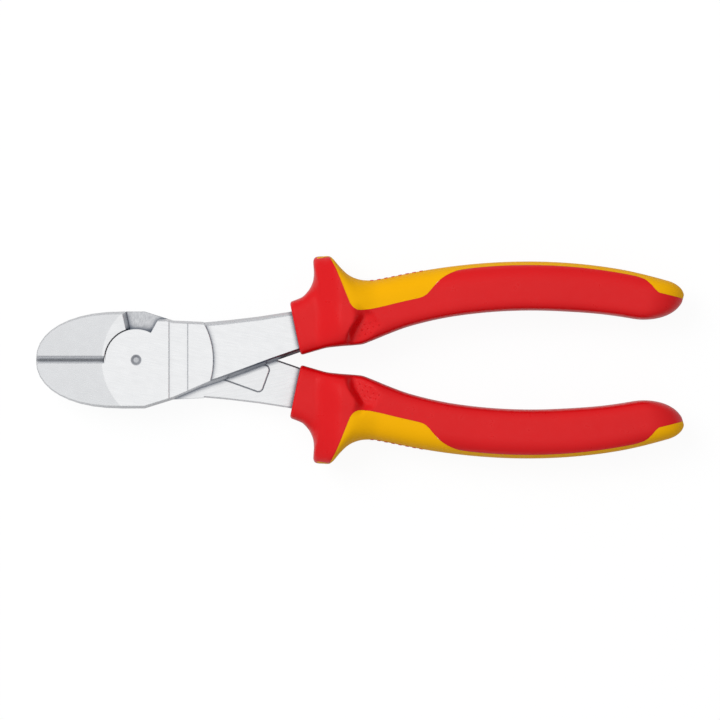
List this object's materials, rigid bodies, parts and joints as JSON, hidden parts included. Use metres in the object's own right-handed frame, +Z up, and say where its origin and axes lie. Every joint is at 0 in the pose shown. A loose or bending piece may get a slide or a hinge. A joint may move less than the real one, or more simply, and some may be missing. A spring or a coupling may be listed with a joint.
{
  "type": "diagonal cutting pliers",
  "caption": "Diagonal cutting pliers with a lap joint, ground cutting jaws and insulated two-colour grips with finger guards.",
  "frame": {"origin": "middle of the bounding box in X and Y, at the lowest point of the finger guards in Z, with the tool lying flat", "axes": "+X from the jaw tips to the grip ends, +Y towards the upper grip, +Z up along the pivot axis"},
  "size_m": [0.1804, 0.058, 0.0204],
  "materials": {
    "front_steel": "satin chrome plated, ground faces",
    "rear_steel": "satin chrome plated, ground faces",
    "yellow_core": "satin moulded plastic",
    "red_cover": "satin gloss moulded plastic",
    "red_inlay": "satin moulded plastic"
  },
  "bodies": {
    "rear": {"rear_half": "rear_steel", "lower_grip_core": "yellow_core", "lower_grip_cover": "red_cover", "lower_grip_inlays": "red_inlay"},
    "front": {"front_half": "front_steel", "upper_grip_core": "yellow_core", "upper_grip_cover": "red_cover", "upper_grip_inlays": "red_inlay"}
  },
  "joints": [
    {"name": "pivot", "type": "hinge", "parent": "rear", "child": "front", "pos_m": [-0.06208, 0, 0.0102], "axis": [0, 0, 1], "range_deg": [0, 40]}
  ]
}
